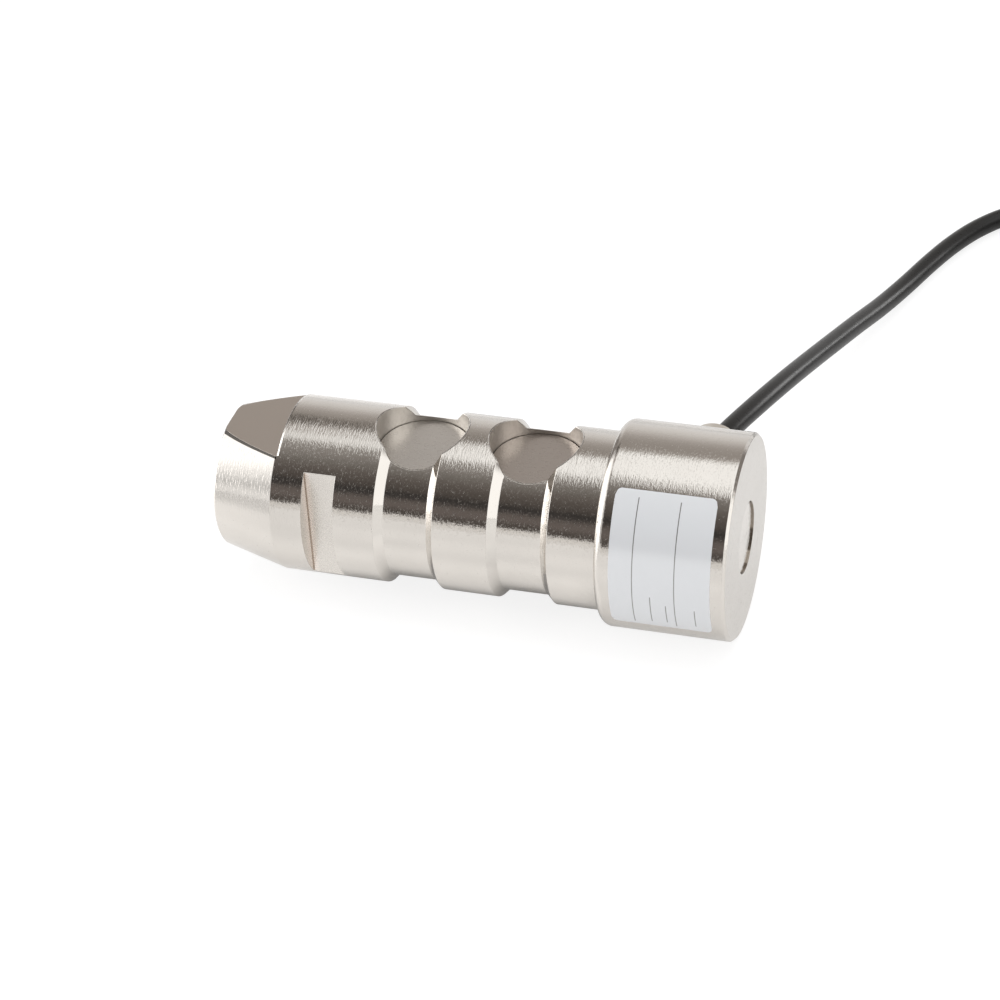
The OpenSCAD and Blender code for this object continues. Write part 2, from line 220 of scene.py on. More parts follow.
def settle(obj):
    """Turns an object's modifiers into its mesh."""
    graph = bpy.context.evaluated_depsgraph_get()
    mesh = bpy.data.meshes.new_from_object(obj.evaluated_get(graph))
    obj.modifiers.clear()
    obj.data = mesh


def combine(obj, other, operation):
    """Adds another object, cuts it away or keeps what both share; the other one is used up."""
    step = obj.modifiers.new("combine", "BOOLEAN")
    step.operation = operation
    step.solver = "EXACT"
    step.object = other
    settle(obj)
    bpy.data.objects.remove(other)


def soften(obj, width, turned=(), arcs=()):
    """Rounds the sharp edges, as a light deburring leaves them, and shades the turned faces as truly round."""
    bm = bmesh.new()
    bm.from_mesh(obj.data)
    bmesh.ops.remove_doubles(bm, verts=bm.verts, dist=0.02 * MM)
    bmesh.ops.dissolve_degenerate(bm, edges=bm.edges, dist=0.01 * MM)
    bm.to_mesh(obj.data)
    bm.free()
    edge = obj.modifiers.new("edge", "BEVEL")
    edge.limit_method = "ANGLE"
    edge.angle_limit = math.radians(10)
    edge.width = width * MM
    edge.segments = 2
    edge.use_clamp_overlap = False
    settle(obj)
    true_normals(obj, turned, arcs)


def array_of(collection, field, width, kind=np.float64):
    values = np.empty(len(collection) * width, dtype=kind)
    collection.foreach_get(field, values)
    return values.reshape(-1, width) if width > 1 else values


def turned_points(points, axis, place):
    """Radius, height and outward direction of points round a turning axis."""
    turn = np.array(axis.to_3x3())
    local = (points - np.array(place)) @ turn
    radius = np.hypot(local[:, 0], local[:, 1])
    outward = local[:, :2] / np.maximum(radius, 1e-9)[:, None]
    return radius, local[:, 2], outward, turn


def turned_normals(points, surface):
    """Normals of a turned surface at points, and how far off it and outside it they lie."""
    axis, place, first, last, hub = surface
    radius, height, outward, turn = turned_points(points, axis, place)
    if hub:
        centre, reach = hub
        across = np.stack([radius - centre[0], height - centre[1]], axis=1)
        size = np.linalg.norm(across, axis=1)
        side = across / np.maximum(size, 1e-9)[:, None]
        off = np.abs(size - reach)
        past = np.zeros(len(points))
    else:
        step = np.array([last[0] - first[0], last[1] - first[1]])
        length = np.linalg.norm(step)
        step = step / length
        side = np.tile([step[1], -step[0]], (len(points), 1))
        away = np.stack([radius - first[0], height - first[1]], axis=1)
        off = np.abs(away @ side[0])
        along = away @ step
        past = np.maximum(-along, along - length)
    local = np.stack([outward[:, 0] * side[:, 0], outward[:, 1] * side[:, 0], side[:, 1]], axis=1)
    return local @ turn.T, off, past


# A face belongs to a turned surface when it lies this near to it and its end in millimetres and faces the same way
SURFACE_NEAR = 0.03
END_NEAR = 0.1
SAME_WAY = 0.996
# Faces over this area in square millimetres are flat ones
FLAT_AREA = 4.0


def true_normals(obj, turned, arcs=()):
    """Gives each face corner the normal of the surface it was cut to, and blends the rounded edges between them."""
    surfaces = [(axis, place, None, None, hub) for hub, axis, place in arcs]
    for profile, axis, place in turned:
        surfaces += [(axis, place, first, last, None) for first, last in zip(profile, profile[1:] + profile[:1])
                     if math.dist(first, last) > 0.01 and max(first[0], last[0]) > 0.01]
    mesh = obj.data
    centres = array_of(mesh.polygons, "center", 3) / MM
    facing = array_of(mesh.polygons, "normal", 3)
    areas = array_of(mesh.polygons, "area", 1) / MM ** 2
    sizes = array_of(mesh.polygons, "loop_total", 1, np.int32)
    owner = np.repeat(np.arange(len(sizes)), sizes)
    corner = array_of(mesh.loops, "vertex_index", 1, np.int32)
    spots = array_of(mesh.vertices, "co", 3) / MM
    known = np.zeros(len(sizes), dtype=bool)
    normals = facing[owner]
    for surface in surfaces:
        ideal, off, past = turned_normals(centres, surface)
        agree = np.sum(ideal * facing, axis=1)
        match = ~known & (off < SURFACE_NEAR) & (past < END_NEAR) & (np.abs(agree) > SAME_WAY)
        if not match.any():
            continue
        known |= match
        chosen = match[owner]
        ideal, off, past = turned_normals(spots[corner[chosen]], surface)
        normals[chosen] = ideal * np.sign(agree[owner[chosen]])[:, None]
    known |= areas > FLAT_AREA
    sure = known[owner]
    total = np.zeros((len(spots), 3))
    np.add.at(total, corner[sure], normals[sure])
    loose = np.linalg.norm(total, axis=1) < 1e-6
    blend = np.zeros((len(spots), 3))
    np.add.at(blend, corner[~sure], (facing * areas[:, None])[owner[~sure]])
    total[loose] = blend[loose]
    normals[~sure] = total[corner[~sure]]
    normals /= np.maximum(np.linalg.norm(normals, axis=1), 1e-9)[:, None]
    mesh.shade_smooth()
    mesh.normals_split_custom_set(normals.tolist())


def arc(centre, radius, start, end, steps):
    """Points on an arc in a half outline, from one angle to another in degrees."""
    points = []
    for k in range(steps + 1):
        angle = math.radians(start + (end - start) * k / steps)
        points.append((centre[0] + radius * math.cos(angle), centre[1] + radius * math.sin(angle)))
    return points


def finish_piece(obj, slot, *replaced):
    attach(obj, BODY)
    if replaced:
        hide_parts(*replaced)
    obj.data.materials.clear()
    obj.data.materials.append(MATERIALS[slot])


def turned_piece(name, outline, axis, place, segments, width, slot, replaced):
    """A piece from one half outline, with its edges softened."""
    piece = lathe(name, outline, axis, place, segments)
    soften(piece, width, [(outline, axis, place)])
    finish_piece(piece, slot, replaced)


def shade(obj, degrees):
    """Smooth shading, apart from edges sharper than this."""
    obj.data.shade_smooth()
    obj.data.set_sharp_from_angle(angle=math.radians(degrees))


def tree_of(name):
    material = bpy.data.materials.new(name)
    material.use_nodes = True
    tree = material.node_tree
    shader = tree.nodes["Principled BSDF"]
    return material, tree, shader


def feed(tree, value, socket):
    """Sets an input to a number or a colour, or links an output to it."""
    if isinstance(value, (int, float, tuple)):
        socket.default_value = value
    else:
        tree.links.new(getattr(value, "socket", value), socket)


def make(tree, kind, *values, **settings):
    """A new node with its settings and its first inputs; gives its first output."""
    made = tree.nodes.new("ShaderNode" + kind)
    for name, setting in settings.items():
        setattr(made, name, setting)
    for value, socket in zip(values, made.inputs):
        feed(tree, value, socket)
    return Value(tree, made.outputs[0]) if made.outputs else None


def math_node(tree, operation, *values):
    return make(tree, "Math", *values, operation=operation)


class Value:
    """A node's output, which counts like a number."""

    def __init__(self, tree, socket):
        self.tree = tree
        self.socket = socket

    def __add__(self, other):
        return math_node(self.tree, "ADD", self, other)

    def __sub__(self, other):
        return math_node(self.tree, "SUBTRACT", self, other)

    def __rsub__(self, other):
        return math_node(self.tree, "SUBTRACT", other, self)

    def __mul__(self, other):
        return math_node(self.tree, "MULTIPLY", self, other)

    def __abs__(self):
        return math_node(self.tree, "ABSOLUTE", self)

    def ramp(self, low, high, to_low=0.0, to_high=1.0):
        """Runs smoothly from one value to another while this one runs from low to high."""
        return make(self.tree, "MapRange", self, low, high, to_low, to_high, interpolation_type="SMOOTHSTEP")

    def inside(self, low, high):
        """One where this length in metres lies between two places in millimetres."""
        above = math_node(self.tree, "GREATER_THAN", self, low * MM)
        return above * math_node(self.tree, "LESS_THAN", self, high * MM)


def mix_colour(tree, factor, first, second):
    made = tree.nodes.new("ShaderNodeMix")
    made.data_type = "RGBA"
    for index, value in ((0, factor), (6, first), (7, second)):
        feed(tree, value, made.inputs[index])
    return made.outputs[2]


def position(tree, kind="Object"):
    """The point on the object in metres in its own frame, or the world's direction, as three values."""
    place = tree.nodes.new("ShaderNodeTexCoord")
    split = tree.nodes.new("ShaderNodeSeparateXYZ")
    tree.links.new(place.outputs[kind], split.inputs[0])
    return [Value(tree, socket) for socket in split.outputs]


def noise(tree, xyz, scales, detail, roughness=0.5, w=0.0):
    """Noise that is squeezed along each axis by its own scale, and may run along w besides."""
    joined = make(tree, "CombineXYZ", *(value * scale for value, scale in zip(xyz, scales)))
    return make(tree, "TexNoise", joined, w, 1.0, detail, roughness, noise_dimensions="4D")


def bump(tree, shader, height, distance):
    made = tree.nodes.new("ShaderNodeBump")
    made.inputs["Distance"].default_value = distance
    made.inputs["Strength"].default_value = 1.0
    feed(tree, height, made.inputs["Height"])
    tree.links.new(made.outputs[0], shader.inputs["Normal"])


def clouded(tree, share, colour, darkest):
    """A colour that drifts between itself and a darker share of itself."""
    return mix_colour(tree, share, tuple(c * darkest for c in colour[:3]) + (1,), colour)


# How near to a surface, in millimetres, a point counts as lying on it
NEAR = 0.05
# The plate's cutter marks and broken edges: depths in metres, widths and pitches in millimetres
CUTTER_DEPTH = 0.00002
SLOT_PITCH = 0.55
FLAT_PITCH = 0.8
MOUTH_DEPTH = 0.00034
MOUTH_WIDTH = 0.3
STEP_DEPTH = 0.0004
STEP_WIDTH = 0.45
FEATHER_TINT = (0.92, 0.80, 0.735, 1)
# Painted shade for the slot's corner
SLOT_CORNER_SHADE_TINT = (0.30, 0.22, 0.16, 1)
# Painted shade for the nose flat's lower edges
FLAT_EDGE_SHADE_TINT = (0.05, 0.045, 0.04, 1)
# The dark seam round the plug, with painted shade on the recess wall beside it
SEAM_AND_SHADE_TINT = (0.24, 0.20, 0.16, 1)


def milled_places(tree, xyz, radius):
    """One in the keeper slot, on its bed, and on the nose flat."""
    x, y, z = xyz
    slot = x.inside(-SLOT_X - SLOT_W / 2 - NEAR, -SLOT_X + SLOT_W / 2 + NEAR) * y.inside(-PIN_R, -SLOT_FLOOR + NEAR)
    slot = slot * math_node(tree, "LESS_THAN", radius, (PIN_R - 0.12) * MM)
    bed = slot * y.inside(-SLOT_FLOOR - NEAR, -SLOT_FLOOR + NEAR)
    flat = z.inside(FLAT_H - NEAR, FLAT_H + NEAR) * x.inside(-PIN_R * 4, -FLAT_X)
    return slot, bed, flat


def pocket_places(tree, xyz):
    """Distance in metres from the nearer pocket's axis, one on that pocket's wall, and one beyond the disc seats."""
    x, y, z = xyz
    across = abs(x) - GROOVE_X * MM
    away = math_node(tree, "SQRT", across * across + y * y)
    high = math_node(tree, "GREATER_THAN", abs(z), DISC_SEAT * MM)
    return away, away.inside(POCKET_R - 0.06, POCKET_R + 0.04) * high, high


def groove_sides(x, radius):
    """One on the sloped sides of the grooves, which a form tool leaves smooth."""
    from_middle = abs(abs(x) - GROOVE_X * MM)
    band = from_middle.inside(GROOVE_HALF_FLOOR + NEAR, GROOVE_HALF_FLOOR + GROOVE_DEPTH)
    return band * radius.inside(GROOVE_R + NEAR, PIN_R - 0.03)


def cutter_rings(tree, across, along, centre, pitch):
    """The arcs that a milling cutter leaves."""
    far = along - centre * MM
    reach = math_node(tree, "SQRT", across * across + far * far)
    return math_node(tree, "SINE", reach * (2 * math.pi / (pitch * MM)))


def turned_nickel(name, colour, roughness, marks, grain):
    """Nickel plate on turned steel: marks run round the axis under a fine grain, and milled places differ."""
    material, tree, shader = tree_of(name)
    xyz = position(tree)
    x, y, z = xyz
    radius = math_node(tree, "SQRT", y * y + z * z)
    fine = noise(tree, xyz, (3300, 550, 550), 1.0, w=radius * 3300)
    broad = noise(tree, xyz, (900, 60, 60), 2.0, w=radius * 900)
    speck = noise(tree, xyz, (3200, 1700, 1700), 2.0, 0.6, radius * 3200)
    spots = noise(tree, xyz, (2700, 1900, 1900), 1.0)
    clouds = noise(tree, xyz, (60, 60, 60), 3.0)
    slot, bed, flat = milled_places(tree, xyz, radius)
    away, wall, high = pocket_places(tree, xyz)
    sides = groove_sides(x, radius)
    turned = 1.0 - math_node(tree, "MAXIMUM", slot, flat)
    slot_rings = cutter_rings(tree, z, x, -SLOT_X - SLOT_W * 0.9, SLOT_PITCH)
    flat_rings = cutter_rings(tree, y, x, -FLAT_X - 16.0, FLAT_PITCH)
    rings = slot_rings * (slot * 0.10) + flat_rings * (flat * 0.03)
    # The marks are flatter on the head, in milled places and on the grooves' sides
    height = (fine + broad * 0.5) * marks * radius.ramp(0.0205, 0.0215, 1.0, 0.6)
    height = (height + speck * grain) * (turned * 0.8 + 0.2) * (1.0 - sides * 0.8)
    height = height + rings * CUTTER_DEPTH
    # Broken edges: round the pocket mouths and along the step behind the nose flat
    mouth = away.ramp(POCKET_R * MM, (POCKET_R + MOUTH_WIDTH) * MM, -MOUTH_DEPTH, 0.0)
    mouth = mouth * (high * away.inside(POCKET_R + 0.01, HEAD_R))
    step = x.ramp(-FLAT_X * MM, (STEP_WIDTH - FLAT_X) * MM, -STEP_DEPTH, 0.0)
    above_flat = math_node(tree, "GREATER_THAN", z, (FLAT_H + 0.06) * MM)
    step = step * (x.inside(0.01 - FLAT_X, 0.5 - FLAT_X) * above_flat)
    bump(tree, shader, height + (mouth + step), 1.0)
    plate = clouded(tree, clouds.ramp(0.35, 0.65), colour, 0.96)
    duller = (colour[0] * 0.845, colour[1] * 0.80, colour[2] * 0.77, 1)
    plate = mix_colour(tree, flat, plate, duller)
    # The cutter's feathered marks beside the slot's nose-side wall, and painted shade as a dark line in its corner
    from_wall = x + (SLOT_X + SLOT_W / 2) * MM
    feather = bed * from_wall.ramp(0.3 * MM, 1.7 * MM, 1.0, 0.0) * slot_rings.ramp(-0.6, 0.8, 0.35, 1.0)
    plate = mix_colour(tree, feather * 0.8, plate, FEATHER_TINT)
    # Painted shade: a dark line where the slot's wall meets its bed
    plate = mix_colour(tree, bed * from_wall.ramp(0.12 * MM, 0.30 * MM, 0.8, 0.0), plate, SLOT_CORNER_SHADE_TINT)
    # Painted shade as a dark line along the nose flat's lower edges, and the dark seam round the plug with painted
    # shade on the recess wall beside it
    flat_edge_shade = z.inside(FLAT_H - 0.42, FLAT_H - NEAR) * x.inside(-PIN_R * 4, -FLAT_X)
    plate = mix_colour(tree, flat_edge_shade * 0.95, plate, FLAT_EDGE_SHADE_TINT)
    # Dark seam round the plug, and painted shade on the recess wall beside it
    seam_and_shade = radius.inside(PLUG_BORE_R - 0.12, PLUG_BORE_R + 0.04)
    seam_and_shade = seam_and_shade * x.inside(END_X - PLUG_RECESS - 0.3, END_X - NEAR)
    plate = mix_colour(tree, seam_and_shade * 0.8, plate, SEAM_AND_SHADE_TINT)
    feed(tree, plate, shader.inputs["Base Color"])
    gloss = speck.ramp(0.3, 0.7, roughness * 0.8, roughness * 1.25)
    gloss = (gloss + spots.ramp(0.42, 0.74, 0.0, 0.22) * turned) * (1.0 - sides * 0.5)
    dull = slot * 0.10 + flat * 0.26 + bed * 0.12 + wall * 0.30
    feed(tree, gloss + dull, shader.inputs["Roughness"])
    shader.inputs["Metallic"].default_value = 1.0
    return material


def ground_steel(name, colour, roughness, towards=None):
    """Fine matt metal, ground along X, whose colour may change from the nose side to the head side."""
    material, tree, shader = tree_of(name)
    xyz = position(tree)
    lines = noise(tree, xyz, (500, 4200, 500), 1.0)
    clouds = noise(tree, xyz, (90, 90, 90), 3.0)
    bump(tree, shader, lines, 0.000003)
    metal = clouded(tree, clouds.ramp(0.3, 0.7), colour, 0.94)
    if towards:
        metal = mix_colour(tree, xyz[0].ramp(-0.004, 0.004), metal, towards)
    feed(tree, metal, shader.inputs["Base Color"])
    feed(tree, lines.ramp(0.3, 0.7, roughness * 0.9, roughness * 1.1), shader.inputs["Roughness"])
    shader.inputs["Metallic"].default_value = 1.0
    return material


def moulded(name, colour, roughness, grain=0.00001, scale=900.0, specular=0.5):
    """Plastic, rubber or film with a fine grain in its height and slow changes in its colour."""
    material, tree, shader = tree_of(name)
    xyz = position(tree)
    speck = noise(tree, xyz, (scale, scale, scale), 3.0)
    clouds = noise(tree, xyz, (120, 120, 120), 2.0)
    bump(tree, shader, speck, grain)
    feed(tree, clouded(tree, clouds.ramp(0.3, 0.7), colour, 0.88), shader.inputs["Base Color"])
    feed(tree, speck.ramp(0.3, 0.7, roughness * 0.9, roughness * 1.1), shader.inputs["Roughness"])
    shader.inputs["Specular IOR Level"].default_value = specular
    return material


# Ruled lines on the label: place along the axis, and start and end in degrees above the slot side
LABEL_RULES = [
    (39.7, -27.3, 50.8), (48.95, -27.3, 50.8), (43.6, -25.0, -4.5), (47.0, -24.0, -9.5), (53.3, -24.5, -10.5)
]
RULE_HALF_WIDTH = 0.11
RULE_BLUR = 0.04
RULE_INK = (0.16, 0.155, 0.15, 1)


def label_film():
    """Cool white film with grey ruled lines, and no words."""
    material, tree, shader = tree_of("label_film")
    xyz = position(tree)
    x, y, z = xyz
    up = math_node(tree, "ARCTAN2", z, y * -1.0)
    total = None
    for place, start, end in LABEL_RULES:
        off = abs(x - place * MM)
        line = off.ramp((RULE_HALF_WIDTH - RULE_BLUR) * MM, (RULE_HALF_WIDTH + RULE_BLUR) * MM, 1.0, 0.0)
        from_middle = abs(up - math.radians((start + end) / 2))
        drawn = line * math_node(tree, "LESS_THAN", from_middle, math.radians((end - start) / 2))
        total = drawn if total is None else math_node(tree, "MAXIMUM", total, drawn)
    clouds = noise(tree, xyz, (150, 150, 150), 2.0)
    film = mix_colour(tree, clouds.ramp(0.3, 0.7), (0.665, 0.682, 0.707, 1), (0.67, 0.688, 0.712, 1))
    feed(tree, mix_colour(tree, total, film, RULE_INK), shader.inputs["Base Color"])
    speck = noise(tree, xyz, (1500, 1500, 1500), 2.0)
    bump(tree, shader, speck, 0.000001)
    feed(tree, speck.ramp(0.3, 0.7, 0.22, 0.26), shader.inputs["Roughness"])
    for socket, value in (("Specular IOR Level", 1.0), ("IOR", 1.7), ("Coat Weight", 1.0), ("Coat Roughness", 0.2)):
        shader.inputs[socket].default_value = value
    return material


NICKEL = (0.70, 0.665, 0.622, 1)
MATERIALS = {
    "nickel_steel": turned_nickel("nickel_steel", NICKEL, 0.055, 0.000029, 0.00002),
    "plug_steel": turned_nickel("plug_steel", (0.80, 0.76, 0.717, 1), 0.06, 0.00003, 0.000012),
    "gland_nickel": ground_steel("gland_nickel", (0.70, 0.66, 0.60, 1), 0.24),
    "disc_steel": ground_steel("disc_steel", (0.73, 0.70, 0.66, 1), 0.30, (0.545, 0.495, 0.455, 1)),
    "rubber_black": moulded("rubber_black", (0.028, 0.027, 0.026, 1), 0.6),
    "cable_sheath": moulded("cable_sheath", (0.021, 0.0205, 0.020, 1), 0.30, 0.000002, 1300.0, 0.24),
    "label_film": label_film(),
    "gauge_film": moulded("gauge_film", (0.62, 0.31, 0.05, 1), 0.35),
    "terminal_copper": ground_steel("terminal_copper", (0.80, 0.42, 0.22, 1), 0.3),
    "wire_bundle": moulded("wire_bundle", (0.58, 0.58, 0.55, 1), 0.5),
    "board_green": moulded("board_green", (0.015, 0.12, 0.05, 1), 0.3),
    "resistor_black": moulded("resistor_black", (0.02, 0.02, 0.022, 1), 0.45),
    "core_red": moulded("core_red", (0.42, 0.015, 0.012, 1), 0.4),
    "core_black": moulded("core_black", (0.02, 0.02, 0.02, 1), 0.4),
    "core_green": moulded("core_green", (0.01, 0.16, 0.04, 1), 0.4),
    "core_white": moulded("core_white", (0.72, 0.72, 0.70, 1), 0.4),
    "core_shield": ground_steel("core_shield", (0.72, 0.71, 0.69, 1), 0.35),
    "tie_black": moulded("tie_black", (0.03, 0.03, 0.031, 1), 0.8, 0.00008, 2600.0),
}


def pin_outline():
    """Half outline of the whole pin as (radius, place along the axis), from the nose to the head's end."""
    outline = [
        (0, -CONE_X - CONE_LEN - TIP_CHAMFER), (CONE_END_R - TIP_CHAMFER, -CONE_X - CONE_LEN - TIP_CHAMFER),
        (CONE_END_R, -CONE_X - CONE_LEN), (PIN_R, -CONE_X)
    ]
    for groove in (-GROOVE_X, GROOVE_X):
        half_top = GROOVE_HALF_FLOOR + GROOVE_DEPTH
        outline += [
            (PIN_R, groove - half_top), (GROOVE_R, groove - GROOVE_HALF_FLOOR),
            (GROOVE_R, groove + GROOVE_HALF_FLOOR), (PIN_R, groove + half_top)
        ]
    outline.append((PIN_R, SHOULDER_X))
    outline += arc((HEAD_R - HEAD_ROUND, SHOULDER_X + HEAD_ROUND), HEAD_ROUND, -90, 0, 12)
    outline += [(HEAD_R, END_X - HEAD_CHAMFER), (HEAD_R - HEAD_CHAMFER, END_X), (0, END_X)]
    return outline


def build_pin():
    """The pin from one outline, with pockets, channels, chamber, gland seat, nose flat and keeper slot cut out."""
    outline = pin_outline()
    pin = lathe("pin_body_turned", outline, ALONG_X, segments=PIN_STEPS)
    turned = [(outline, ALONG_X, (0, 0, 0))]
    arcs = [(((HEAD_R - HEAD_ROUND, SHOULDER_X + HEAD_ROUND), HEAD_ROUND), ALONG_X, (0, 0, 0))]

    def bore(profile, axis, place, segments, turn):
        combine(pin, lathe("bore", profile, axis, place, segments, turn), "DIFFERENCE")
        turned.append((profile, axis, place))

    pocket = [
        (0, WEB_H), (GAUGE_BORE_R, WEB_H), (GAUGE_BORE_R, DISC_SEAT), (POCKET_R, DISC_SEAT),
        (POCKET_R, HEAD_R), (0, HEAD_R)
    ]
    # Each kind of bore starts at its own slight turn, so that bores that cross share no corner
    for side in (-1, 1):
        for axis in (ALONG_Z, DOWN_Z):
            bore(pocket, axis, (side * GROOVE_X, 0, 0), BORE_STEPS, 0.011)
    for level in (CHANNEL_H, -CHANNEL_H):
        bore(rod(CHANNEL_R, 0, CHAMBER_X + 1 + GROOVE_X), ALONG_X, (-GROOVE_X, 0, level), 32, 0.013)
    seat = END_X - PLUG_RECESS - PLUG_T - GASKET_T
    chamber = [
        (0, CHAMBER_X), (CHAMBER_R, CHAMBER_X), (CHAMBER_R, seat), (PLUG_BORE_R, seat), (PLUG_BORE_R, END_X + 1),
        (0, END_X + 1)
    ]
    bore(chamber, ALONG_X, (0, 0, 0), BORE_STEPS, 0.017)
    hole = [
        (0, 0.5), (GLAND_THREAD_R, 0.5), (GLAND_THREAD_R, SPOT_Y), (SPOT_R, SPOT_Y), (SPOT_R, HEAD_R + 1),
        (0, HEAD_R + 1)
    ]
    bore(hole, ALONG_Y, (GLAND_X, 0, 0), 128, 0.019)
    flat = block("flat", (-CONE_X - CONE_LEN - 2, -PIN_R - 1, FLAT_H), (-FLAT_X, PIN_R + 1, PIN_R + 1))
    slot = block("slot", (-SLOT_X - SLOT_W / 2, -PIN_R - 1, -PIN_R - 1),
                 (-SLOT_X + SLOT_W / 2, -SLOT_FLOOR, PIN_R + 1))
    for cutter in (flat, slot):
        combine(pin, cutter, "DIFFERENCE")
    soften(pin, 0.1, turned, arcs)
    finish_piece(pin, "nickel_steel", "pin_body")


def build_discs():
    edge = 0.1
    radius = POCKET_R - DISC_SEAM
    outline = [
        (0, DISC_SEAT), (radius, DISC_SEAT), (radius, DISC_TOP - edge), (radius - edge, DISC_TOP), (0, DISC_TOP)
    ]
    for word, side in (("nose", -1), ("head", 1)):
        for level, axis in (("top", ALONG_Z), ("bottom", DOWN_Z)):
            turned_piece(f"disc_{word}_{level}", outline, axis, (side * GROOVE_X, 0, 0), BORE_STEPS, 0.06,
                         "disc_steel", f"sealing_disc_{word}_{level}")


def build_plug():
    face = END_X - PLUG_RECESS
    outline = rod(PLUG_BORE_R - CLEARANCE, face - PLUG_T, face)
    turned_piece("end_plug_turned", outline, ALONG_X, (0, 0, 0), BORE_STEPS, 0.12, "plug_steel", "end_plug")


def hexagon(name, low, high):
    """A hexagon along Y with its corners turned off at both ends, and the outline that turns them off."""
    place = (GLAND_X, 0, 0)
    corner = GLAND_AF / math.sqrt(3)
    body = lathe(name, rod(corner, low, high), ALONG_Y, place, 6)
    face = GLAND_AF / 2 * 1.005
    drop = (corner - face) * math.tan(math.radians(30))
    rim = corner + 0.01
    cone = [(0, low), (face, low), (rim, low + drop), (rim, high - drop), (face, high), (0, high)]
    combine(body, lathe("turned_limit", cone, ALONG_Y, place, GLAND_STEPS), "INTERSECT")
    return body, (cone, ALONG_Y, place)


def build_gland():
    place = (GLAND_X, 0, 0)
    cable_r = CABLE_D / 2
    body, corners = hexagon("gland_body_turned", WASHER_Y, NECK_Y)
    neck = rod(GLAND_THREAD_R, NECK_Y - 1, NECK_END)
    spigot = rod(GLAND_THREAD_R - CLEARANCE, CHAMBER_R + 0.6, WASHER_Y + 1)
    through = [
        (0, 0), (cable_r + 0.3, 0), (cable_r + 0.3, GROMMET_Y), (NECK_BORE_R, GROMMET_Y), (NECK_BORE_R, NECK_Y + 6),
        (0, NECK_Y + 6)
    ]
    for extra in (neck, spigot):
        combine(body, lathe("extra", extra, ALONG_Y, place, GLAND_STEPS), "UNION")
    combine(body, lathe("through", through, ALONG_Y, place, GLAND_STEPS), "DIFFERENCE")
    soften(body, 0.12, [corners] + [(profile, ALONG_Y, place) for profile in (neck, spigot, through)])
    finish_piece(body, "gland_nickel", "gland_body")

    top = NUT_Y + NUT_HEX_H
    nut, corners = hexagon("gland_nut_turned", NUT_Y, top)
    taper_r = GLAND_AF / 2 - 0.1
    dome = [
        (0, top - 1), (taper_r, top - 1), (taper_r, top), (MOUTH_R, GLAND_END - 0.3), (MOUTH_R - 0.3, GLAND_END),
        (0, GLAND_END)
    ]
    thread_r = GLAND_THREAD_R + CLEARANCE
    hollow = [
        (0, NUT_Y - 1), (thread_r, NUT_Y - 1), (thread_r, NECK_END + NECK_GAP), (MOUTH_BORE_R, NECK_END + NECK_GAP),
        (MOUTH_BORE_R, GLAND_END + 1), (0, GLAND_END + 1)
    ]
    combine(nut, lathe("dome", dome, ALONG_Y, place, 128), "UNION")
    combine(nut, lathe("hollow", hollow, ALONG_Y, place, GLAND_STEPS), "DIFFERENCE")
    soften(nut, 0.15, [corners, (dome, ALONG_Y, place), (hollow, ALONG_Y, place)])
    finish_piece(nut, "gland_nickel", "gland_nut")

    washer_r = GLAND_AF / 2 + 0.5
    ring = [(thread_r, SPOT_Y), (washer_r, SPOT_Y), (washer_r, WASHER_Y), (thread_r, WASHER_Y)]
    turned_piece("gland_washer_moulded", ring, ALONG_Y, place, GLAND_STEPS, 0.15, "rubber_black", "gland_washer")

    collar = NECK_END + NECK_GAP
    grommet = [
        (cable_r, GROMMET_Y), (GROMMET_R, GROMMET_Y), (GROMMET_R, NECK_END), (GROMMET_COLLAR_R, NECK_END),
        (GROMMET_COLLAR_R, collar), (GROMMET_MOUTH_R, collar), (GROMMET_MOUTH_R, GLAND_END - 0.5),
        (cable_r, GLAND_END - 0.5)
    ]
    turned_piece("gland_grommet_moulded", grommet, ALONG_Y, place, GLAND_STEPS, 0.08, "rubber_black", "gland_grommet")


def build_label():
    """Film wrapped round the head: a rounded plate bent onto the cylinder, with its thickness."""
    chord = 2 * HEAD_R * math.sin(math.radians(LABEL_ARC / 2))
    half_len = LABEL_LEN / 2
    half_w = chord / 2
    columns, rows = 60, 96
    bm = bmesh.new()
    sheet = []
    for layer in (LABEL_T, 0.0):
        grid = []
        for i in range(columns + 1):
            x = -half_len + LABEL_LEN * i / columns
            inset = max(0.0, abs(x) - (half_len - LABEL_CORNER))
            reach = half_w - LABEL_CORNER + math.sqrt(max(0.0, LABEL_CORNER ** 2 - inset ** 2))
            line = []
            for j in range(rows + 1):
                across = -reach + 2 * reach * j / rows
                angle = math.asin(across / HEAD_R) + math.radians(LABEL_TURN)
                r = HEAD_R + layer
                line.append(bm.verts.new((LABEL_X + x, -r * math.cos(angle), r * math.sin(angle))))
            grid.append(line)
        sheet.append(grid)
    for grid in sheet:
        for i in range(columns):
            for j in range(rows):
                bm.faces.new([grid[i][j], grid[i + 1][j], grid[i + 1][j + 1], grid[i][j + 1]])
    rim = [(i, 0) for i in range(columns)] + [(columns, j) for j in range(rows)]
    rim += [(i, rows) for i in range(columns, 0, -1)] + [(0, j) for j in range(rows, 0, -1)]
    for (a, b), (c, d) in zip(rim, rim[1:] + rim[:1]):
        bm.faces.new([sheet[0][a][b], sheet[0][c][d], sheet[1][c][d], sheet[1][a][b]])
    bmesh.ops.recalc_face_normals(bm, faces=bm.faces)
    label = mesh_object("rating_label_film", bm)
    shade(label, 40)
    finish_piece(label, "label_film", "rating_label")


